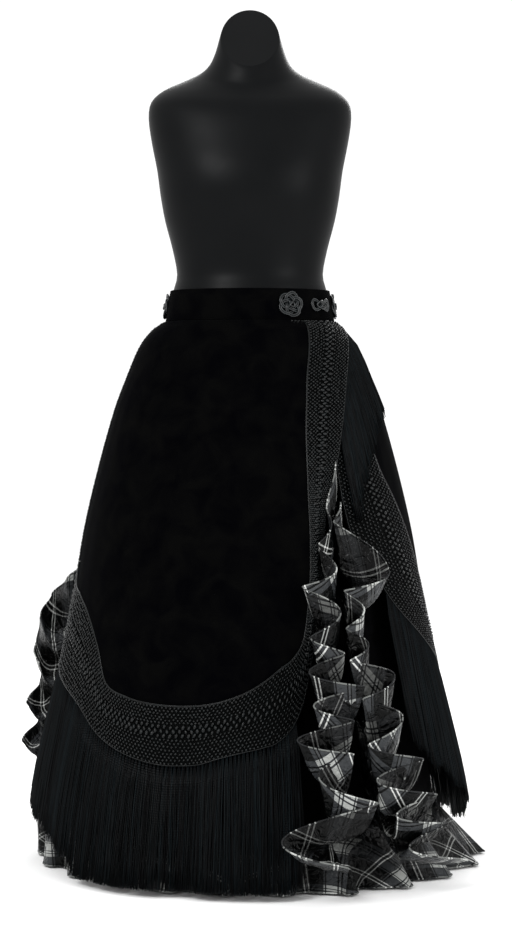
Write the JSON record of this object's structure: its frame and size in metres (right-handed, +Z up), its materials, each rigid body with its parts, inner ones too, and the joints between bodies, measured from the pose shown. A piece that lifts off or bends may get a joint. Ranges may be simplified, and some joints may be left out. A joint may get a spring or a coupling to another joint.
{
  "type": "flamenco skirt on a dress form",
  "caption": "Long black velvet skirt with knotted borders, fringe and checked taffeta ruffles, belted on a limbless dress form on a round-footed stand.",
  "frame": {"origin": "centre of the underside of the stand's round foot, on the floor", "axes": "+Z up along the stand's pole, -Y the wearer's front, +X the wearer's left"},
  "size_m": [0.8426, 0.9383, 1.5196],
  "materials": {
    "velvet": "black silk velvet, deep pile with a faint sheen at the turn",
    "base_cloth": "black crepe, matt",
    "knotted_band": "black knotted silk cord on net, each knot glinting",
    "fringe_silk": "long black twisted silk fringe, faint blue-green glints",
    "checked_taffeta": "charcoal taffeta woven with pale bars and fine dark lines, crisp and glossy, rolled edge",
    "passementerie": "black satin cord, knotted",
    "form_shell": "charcoal satin lacquer over moulded shell",
    "stand_steel": "black powder coat"
  },
  "bodies": {
    "root": {"stand_foot": "stand_steel", "stand_collar": "stand_steel", "stand_pole": "stand_steel", "dress_form": "form_shell", "belt": "velvet", "rosette_front_left": "passementerie", "rosette_side_left": "passementerie", "rosette_back_left": "passementerie", "rosette_back_right": "passementerie", "rosette_side_right": "passementerie", "link_front_left": "passementerie", "link_side_left": "passementerie", "link_back": "passementerie", "link_side_right": "passementerie", "base_skirt": "base_cloth", "velvet_apron": "velvet", "velvet_back": "velvet", "border_apron_left": "knotted_band", "border_apron_front": "knotted_band", "border_apron_right": "knotted_band", "border_back_left": "knotted_band", "border_back_hem": "knotted_band", "border_back_right": "knotted_band", "fringe_apron_left": "fringe_silk", "fringe_apron_front": "fringe_silk", "fringe_apron_right": "fringe_silk", "fringe_apron_side": "fringe_silk", "fringe_back_left": "fringe_silk", "fringe_back_hem": "fringe_silk", "fringe_back_right": "fringe_silk", "cascade_left_outer": "checked_taffeta", "cascade_left_inner": "checked_taffeta", "cascade_right": "checked_taffeta", "flounce_hem": "checked_taffeta"}
  },
  "joints": []
}
